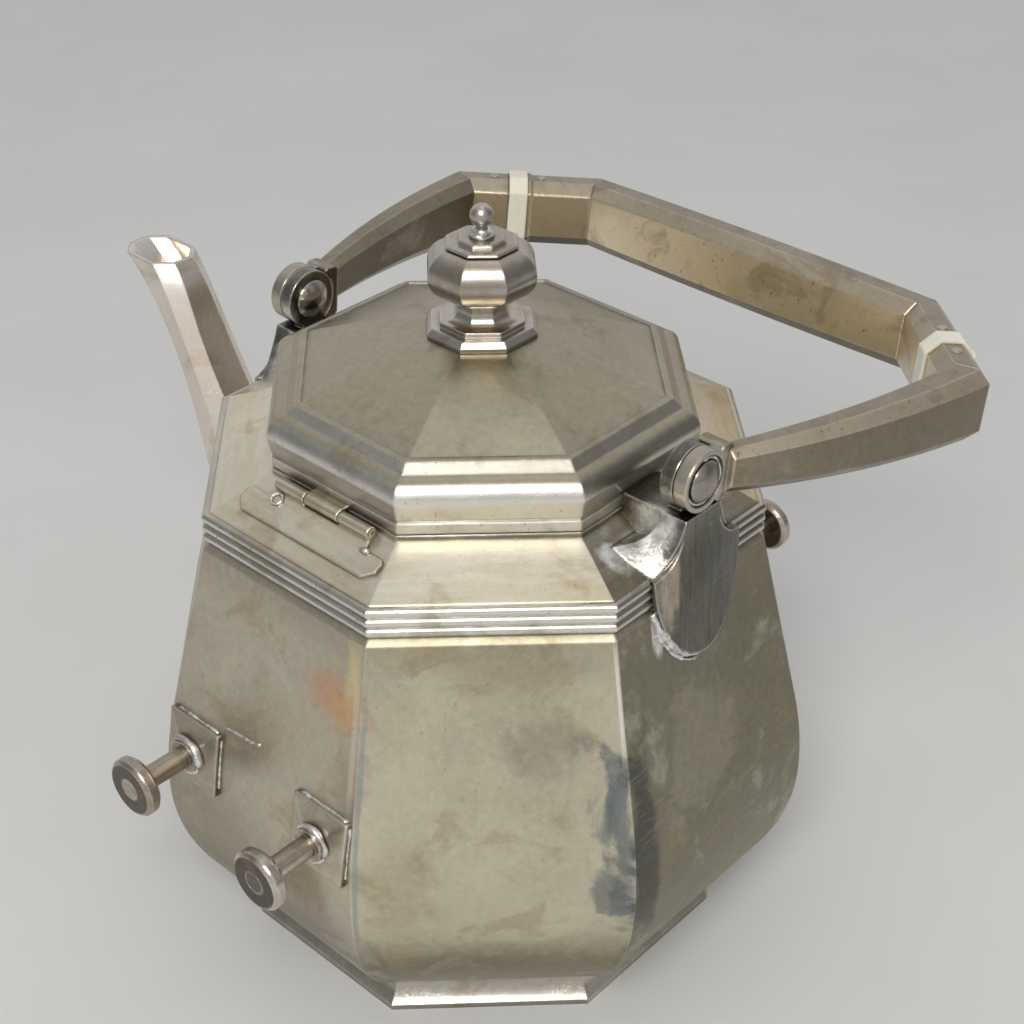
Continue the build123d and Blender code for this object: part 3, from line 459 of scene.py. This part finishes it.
def solder(name):
    """Dull white metal, lumpy, with bright spots where it is rubbed."""
    paint = Paint(name)
    lumps = paint.noise(paint.here, 700.0, detail=5.0, rough=0.65)
    cloud = paint.noise(paint.here, 180.0, detail=3.0)
    colour = paint.ramp(lumps, [(0.35, (0.50, 0.48, 0.44)), (0.50, (0.78, 0.78, 0.76)),
                                (0.66, (0.95, 0.96, 0.97))])
    dull = paint.times(paint.between(cloud, 0.48, 0.36), 0.5)
    colour = paint.mix(dull, colour, (0.36, 0.32, 0.25))
    normal = paint.bump(lumps, 0.15 * MM, 0.9)
    gloss = paint.ramp(lumps, [(0.35, 0.50), (0.65, 0.26)])
    return paint.principled(colour, gloss, 1.0, normal)


# painted light by side: a cool grey reflection on faces looking left, shade on faces looking
# right, a highlight on faces looking to the front
LEFT_REFLECTION = Tint(LEFT, 0.50, 0.75, (0.56, 0.57, 0.545), 0.80)
RIGHT_SHADE = Tint(RIGHT, 0.50, 0.75, (0.27, 0.275, 0.26), 0.75)
FRONT_HIGHLIGHT = Tint(FRONT, 0.55, 0.80, WEAR_AND_HIGHLIGHT, 0.85)
GUSSETS = [((side * 0.0570, -0.0125, 0.1385), (0.0110, 0.0095, 0.0120)) for side in (1, -1)]
HUBS = [Blot((side * 0.0635, 0, 0.1472), (0.006, 0.0095, 0.0095), (0.52, 0.475, 0.40), 0.9,
             0.3, 0.15) for side in (1, -1)]

# Each kind of silver: pale, mid and deep colour, roughness, corner radius and the rest of silver()
SILVERS = {
    "body_silver": dict(
        pale=(0.68, 0.64, 0.49), mid=(0.58, 0.54, 0.41), deep=(0.45, 0.415, 0.31),
        rough=0.36, corner=1.1 * MM,
        # painted shade: faces looking right much darker, faces looking left a little darker
        faces=[Tint(LEFT, 0.80, 0.97, (0.56, 0.50, 0.40), 0.80),
               Tint(RIGHT, 0.75, 0.95, (0.195, 0.182, 0.13), 0.85)],
        # painted shade: darker towards the foot, just under the moulding and on the belly under
        # the spout
        bands=[Tint(DOWN, -0.048, -0.030, (0.215, 0.19, 0.10), 0.90),
               Tint(UP, 0.108, 0.122, (0.34, 0.30, 0.21), 0.40),
               Tint(SPOUT_SIDE_LOW, -0.064, -0.034, (0.24, 0.215, 0.16), 0.55)],
        blots=[Blot((0.0580, -0.0419, 0.092), (0.011, 0.011, 0.009), (0.36, 0.34, 0.27), 0.45,
                    3.0, 0.7),
               Blot((0.0500, -0.0420, 0.113), (0.022, 0.022, 0.008), BROWN, 0.35, 2.6, 0.6),
               Blot((0.0398, -0.0693, 0.060), (0.014, 0.014, 0.022), (0.44, 0.36, 0.22), 0.40,
                    2.0, 0.7),
               Blot((0.0190, -0.0676, 0.1040), (0.011, 0.007, 0.0085), ROSE, 0.75, 1.8, 0.8),
               Blot((0.0225, -0.0665, 0.1010), (0.008, 0.007, 0.0065), AMBER, 0.65, 1.8, 0.8),
               Blot((0.0167, -0.0770, 0.052), (0.012, 0.008, 0.014), BROWN, 0.65, 2.0, 0.8),
               Blot((0.0740, -0.0060, 0.083), (0.010, 0.014, 0.020), (0.40, 0.38, 0.29), 0.45,
                    3.5, 0.5)],
        # painted dark reflections beside the right corner, painted highlights along both corners
        # and painted shade beside the left corner; the yellow band left of the left corner is
        # tarnish
        ribbons=[Ribbon(-24.2, 2.2, 0.045, 0.100, SLATE_REFLECTION, 0.75, 3.4, 0.6),
                 Ribbon(-26.3, 3.6, 0.040, 0.086, SLATE_REFLECTION, 0.70, 4.2, 0.7),
                 Ribbon(-20.0, 3.4, 0.028, 0.110, COAL_REFLECTION, 0.80, 2.6, 0.7),
                 Ribbon(-22.9, 0.45, 0.088, 0.122, CREAM_HIGHLIGHT, 0.85, 0.4, 0.6),
                 Ribbon(-69.8, 2.4, 0.101, 0.123, SUN, 0.75, 1.0, 0.9),
                 Ribbon(-68.6, 0.9, 0.060, 0.119, CREAM_HIGHLIGHT, 0.35, 0.6, 0.8),
                 Ribbon(-66.9, 0.55, 0.020, 0.119, (0.33, 0.36, 0.36), 0.60, 0.8, 0.6)],
        crust=[((0.0655, -0.0140, 0.1150), (0.003, 0.0022, 0.008))]),
    "lid_silver": dict(
        pale=(0.49, 0.445, 0.33), mid=(0.43, 0.39, 0.29), deep=(0.36, 0.32, 0.235),
        rough=0.32, corner=0.9 * MM, specks=0.7,
        # painted reflection, shade and highlight by side
        faces=[LEFT_REFLECTION, RIGHT_SHADE, FRONT_HIGHLIGHT]),
    "shoulder_silver": dict(
        pale=(0.86, 0.78, 0.62), mid=(0.78, 0.71, 0.56), deep=(0.60, 0.54, 0.42),
        rough=0.29, corner=0.9 * MM, brushed=(0.06, 0.06, 1.0),
        # painted shade: faces looking right darker
        faces=[Tint(RIGHT, 0.33, 0.41, (0.215, 0.20, 0.155), 0.85)],
        crust=[((0.0560, -0.0165, 0.1340), (0.0062, 0.0048, 0.0060))]),
    "foot_silver": dict(
        pale=(0.72, 0.69, 0.59), mid=(0.58, 0.55, 0.46), deep=(0.38, 0.35, 0.27),
        rough=0.24, corner=0.5 * MM,
        # painted shade: faces looking left darker
        faces=[Tint(LEFT, 0.50, 0.75, (0.30, 0.28, 0.23), 0.7)]),
    "trim_silver": dict(
        pale=(0.72, 0.68, 0.58), mid=(0.58, 0.54, 0.45), deep=(0.38, 0.35, 0.275),
        rough=0.24, corner=0.5 * MM,
        # painted reflection, shade and highlight by side
        faces=[LEFT_REFLECTION, RIGHT_SHADE, FRONT_HIGHLIGHT]),
    "finial_silver": dict(
        pale=(0.72, 0.67, 0.59), mid=(0.60, 0.55, 0.48), deep=(0.44, 0.40, 0.34),
        rough=0.23, corner=0.7 * MM,
        # painted shade: faces looking left or right darker
        faces=[Tint(LEFT, 0.55, 0.8, (0.36, 0.345, 0.32), 0.6),
               Tint(RIGHT, 0.55, 0.8, (0.30, 0.28, 0.25), 0.6)]),
    "spout_silver": dict(
        pale=(0.88, 0.80, 0.69), mid=(0.80, 0.71, 0.60), deep=(0.64, 0.56, 0.46),
        rough=0.27, corner=0.7 * MM,
        # painted highlight: lighter towards the spout's mouth
        bands=[Tint(UP, 0.120, 0.142, (0.88, 0.84, 0.78), 0.6)]),
    "bracket_silver": dict(
        pale=(0.25, 0.24, 0.20), mid=(0.16, 0.155, 0.13), deep=(0.085, 0.082, 0.068),
        rough=0.24, corner=0.7 * MM, brushed=(1.0, 1.0, 0.04), shine=0.9,
        # painted highlights: a beige strip on the tongue's left flank and a pale one at its crease
        # to the gusset
        blots=[Blot((0.0660, -0.0110, 0.1250), (0.006, 0.0045, 0.014), (0.52, 0.45, 0.35), 0.75,
                    1.6, 0.6),
               Blot((0.0620, -0.0140, 0.1330), (0.005, 0.004, 0.006), (0.62, 0.55, 0.47), 0.80,
                    1.6, 0.6)],
        crust=GUSSETS),
    "knuckle_silver": dict(
        pale=(0.46, 0.43, 0.38), mid=(0.33, 0.305, 0.265), deep=(0.20, 0.185, 0.155),
        rough=0.17, corner=0.8 * MM, shine=0.6),
    "spool_silver": dict(
        pale=(0.60, 0.54, 0.47), mid=(0.45, 0.39, 0.33), deep=(0.28, 0.235, 0.19),
        rough=0.22, corner=0.9 * MM, shine=0.8,
        # painted shadow: disc faces looking squarely left or back are nearly black
        faces=[Tint(side, 0.90, 0.98, (0.10, 0.08, 0.065), 1.0) for side in (LEFT, BACK)]),
    "shaft_silver": dict(
        pale=(0.56, 0.50, 0.42), mid=(0.42, 0.375, 0.30), deep=(0.25, 0.215, 0.165),
        rough=0.28, corner=0.4 * MM, brushed=(1.0, 0.05, 1.0),
        blots=[Blot((0.0217, -0.0955, 0.0695), (0.004, 0.001, 0.004), (0.11, 0.09, 0.075), 0.9,
                    0.2, 0.2)]),
    "bail_silver": dict(
        pale=(0.56, 0.48, 0.37), mid=(0.44, 0.375, 0.28), deep=(0.29, 0.24, 0.17),
        rough=0.31, corner=0.9 * MM, shine=0.5, specks=0.9,
        # painted light: a pale reflection on faces looking left, shade on faces looking right and
        # down, a highlight on the upper chamfer; tops a little darker
        faces=[Tint(LEFT, 0.5, 0.9, (0.95, 0.81, 0.58), 0.95),
               Tint(RIGHT, 0.85, 0.95, (0.225, 0.195, 0.14), 0.85),
               Tint(UP, 0.86, 0.96, (0.36, 0.31, 0.235), 0.6),
               Tint(UPPER_RIGHT, 0.86, 0.96, (0.80, 0.67, 0.50), 0.85),
               Tint(DOWN, 0.2, 0.7, (0.12, 0.10, 0.07), 0.85)],
        blots=HUBS),
    "far_arm_shaded_silver": dict(
        # the far arm's silver: a darker copy of bail_silver as painted shade, with deep painted
        # shade on faces looking right
        pale=(0.40, 0.345, 0.255), mid=(0.31, 0.265, 0.19), deep=(0.20, 0.165, 0.115),
        rough=0.31, corner=0.9 * MM, shine=0.6, specks=0.9,
        faces=[Tint(RIGHT, 0.85, 0.95, (0.105, 0.088, 0.058), 0.85)],
        blots=HUBS),
}

# What each kind covers, by how the node's name starts; body_silver covers the rest
WEARS = (
    ("lid_silver", ("lid_",)),
    ("shoulder_silver", ("neck_ring", "shoulder", "hinge_")),
    ("foot_silver", ("foot_",)),
    ("trim_silver", ("reed_",)),
    ("finial_silver", ("finial_",)),
    ("spout_silver", ("spout",)),
    ("bracket_silver", ("bracket_",)),
    ("knuckle_silver", ("rivet_",)),
    ("spool_silver", ("spool_disc_",)),
    ("shaft_silver", ("spool_pin_",)),
    ("far_arm_shaded_silver", ("arm_left",)),
    ("bail_silver", ("arm_", "elbow_", "grip")),
    ("insulator_ivory", ("insulator_",)),
)


def dress():
    """Give every CAD node its material, and return the materials by name."""
    materials = {name: silver(name, **look) for name, look in SILVERS.items()}
    materials["insulator_ivory"] = ivory("insulator_ivory")
    for name, node in nodes.items():
        wears = [kind for kind, starts in WEARS if name.startswith(starts)]
        slots = node.data.materials
        slots.clear()
        slots.append(materials[wears[0] if wears else "body_silver"])
    return materials


# -------------------------------------------------------------- mesh helpers
BEAD_CORNERS = 8
BEAD_STEP = 1.1                             # length of a bead's step, in its radius
BEAD_END = 0.35                             # size of an open bead's end
BEAD_LEAST = 0.4                            # least size of its rings
DRIFT_KEPT = 0.6                            # share of a ring's drift that the next one keeps
WANDER = 0.4                                # how far rings wander sideways
DOME_RINGS, DOME_CORNERS = 5, 20
STEEP = 0.9                                 # upright part of a direction that counts as steep


def furthest(name, direction, below=1.0):
    """The CAD node's vertex that lies furthest along a direction, of those below a height."""
    points = [v.co for v in nodes[name].data.vertices if v.co.z < below]
    return Vector(max(points, key=lambda p: p.dot(direction)))


def across(axis):
    """A level direction square to an axis, or one square to X where the axis is steep."""
    return axis.cross(UP if abs(axis.z) < STEEP else Vector(RIGHT)).normalized()


def millimetres(*points):
    return [Vector(p) * MM for p in points]


def add_piece(name, points, faces, body, material):
    mesh = bpy.data.meshes.new(name)
    mesh.from_pydata([tuple(p) for p in points], [], faces)
    mesh.materials.append(material)
    for face in mesh.polygons:
        face.use_smooth = True
    piece = placed(name, mesh)
    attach(piece, body)
    return piece


def bead(name, route, radius, body, material, seed, uneven=0.5, closed=False):
    """Uneven run of solder along a route: rings whose size and place wander."""
    rng = random.Random(seed)
    steps = []
    for start, end in zip(route, route[1:] + route[:1] if closed else route[1:]):
        count = max(1, round((end - start).length / (BEAD_STEP * radius)))
        steps += [start.lerp(end, i / count) for i in range(count)]
    if not closed:
        steps.append(route[-1])

    rings, around = len(steps), BEAD_CORNERS
    points, faces = [], []
    drift = 0.0
    for index, centre in enumerate(steps):
        ahead = steps[(index + 1) % rings] if closed or index + 1 < rings else centre
        behind = steps[index - 1] if closed or index else centre
        line = (ahead - behind).normalized()
        side = across(line)
        over = side.cross(line)
        drift = DRIFT_KEPT * drift + rng.uniform(-1, 1) * uneven
        size = radius * max(BEAD_LEAST, 1 + drift)
        if not closed and index in (0, rings - 1):
            size *= BEAD_END
        shift = side * rng.uniform(-1, 1) + over * rng.uniform(-1, 1)
        centre = centre + shift * radius * uneven * WANDER
        for turn in range(around):
            angle = math.tau * turn / around
            points.append(centre + (side * math.cos(angle) + over * math.sin(angle)) * size)

    total = rings * around
    for ring in range(rings if closed else rings - 1):
        for turn in range(around):
            a = ring * around + turn
            b = ring * around + (turn + 1) % around
            faces.append((a, b, (b + around) % total, (a + around) % total))
    if not closed:
        faces.append(tuple(reversed(range(around))))
        faces.append(tuple(range(total - around, total)))
    smooth = add_piece(name, points, faces, body, material).modifiers.new("smooth", "SUBSURF")
    smooth.levels = smooth.render_levels = 1


def ring_route(centre, axis, radius, count=24, start=0, end=360):
    """Points round a circle about an axis, or round a stretch of it, in degrees."""
    side = across(axis)
    over = axis.cross(side)
    angles = [math.radians(start + (end - start) * i / count) for i in range(count)]
    return [centre + (side * math.cos(a) + over * math.sin(a)) * radius for a in angles]


def dome(name, centre, axis, radius, height, body, material):
    """Low round head of a pin."""
    rings, around = DOME_RINGS, DOME_CORNERS
    side = axis.orthogonal().normalized()
    over = axis.cross(side)
    points = [centre + axis * height]
    for ring in range(1, rings + 1):
        lean = math.pi / 2 * ring / rings
        for turn in range(around):
            angle = math.tau * turn / around
            out = (side * math.cos(angle) + over * math.sin(angle)) * radius * math.sin(lean)
            points.append(centre + out + axis * height * math.cos(lean))
    faces = [(0, 1 + turn, 1 + (turn + 1) % around) for turn in range(around)]
    for ring in range(rings - 1):
        for turn in range(around):
            a = 1 + ring * around + turn
            b = 1 + ring * around + (turn + 1) % around
            faces.append((a, a + around, b + around, b))
    faces.append(tuple(1 + (rings - 1) * around + turn for turn in range(around)))
    add_piece(name, points, faces, body, material)


# ------------------------------------------------------- solder and pin heads
SPOOLS = (("front_left", -1), ("front_right", -1), ("back_left", 1), ("back_right", 1))
COLLAR_RING = 4.5 * MM                      # radius of the solder's ring round a collar
CORNER_CUT = 0.12                           # how far along its sides a plate's corner is cut
TONGUE_ANGLES = (8, 20, 30, 38, 45, 52, 60, 68, 75, 84)     # degrees below the level
PIVOT_FACE = 7.3 * MM                       # how far from a pivot its disc reaches
RESIDUE_RING, RESIDUE_SUNK = 5.5 * MM, 0.7 * MM
PINS = ("elbow_pin_left", "elbow_pin_right", "grip_pin_left", "grip_pin_right")
HEAD_RADIUS, HEAD_HEIGHT, HEAD_SUNK = 1.35 * MM, 0.55 * MM, 0.05 * MM


def spool_solder(material):
    """Solder round each spool's collar and along its plate's edges, with a smear beside one."""
    for seed, (name, side) in enumerate(SPOOLS):
        out = Vector((0, side, 0))
        low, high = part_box("spool_pin_" + name)
        seat = furthest("spool_plate_" + name, out)
        centre = Vector(((low.x + high.x) / 2, seat.y, (low.z + high.z) / 2)) - out * 0.3 * MM
        bead("solder_collar_" + name, ring_route(centre, out, COLLAR_RING), 0.85 * MM, "kettle",
             material, seed=seed, uneven=0.40, closed=True)
        corners = [furthest("spool_plate_" + name, Vector((sx, -0.3 * side, sz)))
                   for sx, sz in ((-1, 1), (1, 1), (1, -1), (-1, -1))]
        route = []
        for index, corner in enumerate(corners):
            for neighbour in (corners[index - 1], corners[(index + 1) % len(corners)]):
                route.append(corner.lerp(neighbour, CORNER_CUT))
        bead("solder_plate_" + name, route, 0.55 * MM, "kettle", material, seed=seed + 5,
             uneven=0.35, closed=True)
    smear = millimetres((-13.2, -73.4, 79.6), (-9.0, -73.5, 80.3), (-4.0, -73.4, 80.6),
                        (-0.3, -73.2, 81.4), (0.0, -73.0, 82.9))
    bead("solder_smear", smear, 0.36 * MM, "kettle", material, seed=17)


def bracket_solder(material):
    """White solder along each tongue's lower edge, on the side of the lid's hinge."""
    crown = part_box("reed_moulding")[0].z
    for side, name in ((1, "bracket_right"), (-1, "bracket_left")):
        route = []
        for angle in map(math.radians, TONGUE_ANGLES):
            outward = Vector((-0.3 * side, -math.cos(angle), -math.sin(angle)))
            route.append(furthest(name, outward, crown)
                         + Vector((0.4 * MM * side, -0.3 * MM, -0.3 * MM)))
        for index, (radius, shift) in enumerate(((0.85 * MM, 0.0), (0.6 * MM, 0.9 * MM))):
            aside = Vector((0, -shift, -shift))
            moved = [p + aside * (1 if i > 1 else 0.3) for i, p in enumerate(route)]
            bead("solder_%s_%d" % (name, index), moved, radius, "kettle", material,
                 seed=40 + side + 7 * index)


def hinge_solder(material):
    """A small loop and a drop of solder by the ends of the lid's hinge, on the shoulder."""
    middle = Vector((-12.6, -53.2, 133.5)) * MM
    loop = ring_route(middle, Vector((0, -0.43, 0.90)), 1.5 * MM, count=10)
    bead("solder_hinge_loop", loop, 0.42 * MM, "kettle", material, seed=71, closed=True)
    drop = millimetres((14.4, -54.0, 133.2), (15.6, -53.6, 133.4), (17.2, -53.4, 133.4))
    bead("solder_hinge_drop", drop, 0.75 * MM, "kettle", material, seed=72, uneven=0.3)


def finial_solder(material):
    """Lumpy solder round the neck of the finial's ball."""
    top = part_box("finial_cap")[1].z
    for index, (radius, rise) in enumerate(((2.1 * MM, 0.4 * MM), (1.7 * MM, 1.3 * MM))):
        route = ring_route(Vector((0, 0, top + rise)), UP, radius, count=12)
        bead("solder_ball_%d" % index, route, 0.75 * MM, "lid", material, seed=60 + index,
             closed=True)


def pivot_residue(material):
    """Pale arc of old polish left in the recess round each pivot's rivet."""
    for side, name in ((1, "right"), (-1, "left")):
        low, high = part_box("rivet_" + name)
        pivot = (low + high) / 2
        near = [v.co.x * side for v in nodes["arm_" + name].data.vertices
                if math.hypot(v.co.y - pivot.y, v.co.z - pivot.z) < PIVOT_FACE]
        centre = Vector((side * (max(near) - RESIDUE_SUNK), pivot.y, pivot.z))
        arc = ring_route(centre, Vector((side, 0, 0)), RESIDUE_RING, count=26, start=20, end=290)
        bead("residue_" + name, arc, 0.38 * MM, "handle", material, seed=80 + side)


def pin_heads(material):
    """Low heads on both ends of the four pins that hold the insulators."""
    for name in PINS:
        points = [v.co for v in nodes[name].data.vertices]
        centre = sum(points, Vector()) / len(points)
        tip = max(points, key=lambda p: (p - centre).length)
        axis = Vector((0, tip.y - centre.y, tip.z - centre.z)).normalized()
        reach = max((p - centre).dot(axis) for p in points)
        for end, way in (("a", 1), ("b", -1)):
            dome("head_%s_%s" % (name, end), centre + axis * way * (reach - HEAD_SUNK),
                 axis * way, HEAD_RADIUS, HEAD_HEIGHT, "handle", material)


make_camera()
make_floor()
make_world()
softbox("key", -56, 48, distance=1.5, size=0.55, power=11.0, colour=(1.0, 0.98, 0.95))
softbox("ceiling", 115, 83, distance=1.6, size=0.60, power=0.6, colour=(1.0, 1.0, 0.98))
materials = dress()
solder_metal = solder("solder_metal")
spool_solder(solder_metal)
bracket_solder(solder_metal)
hinge_solder(solder_metal)
finial_solder(solder_metal)
pivot_residue(solder_metal)
pin_heads(materials["trim_silver"])

bpy.context.scene.view_settings.view_transform = "Standard"
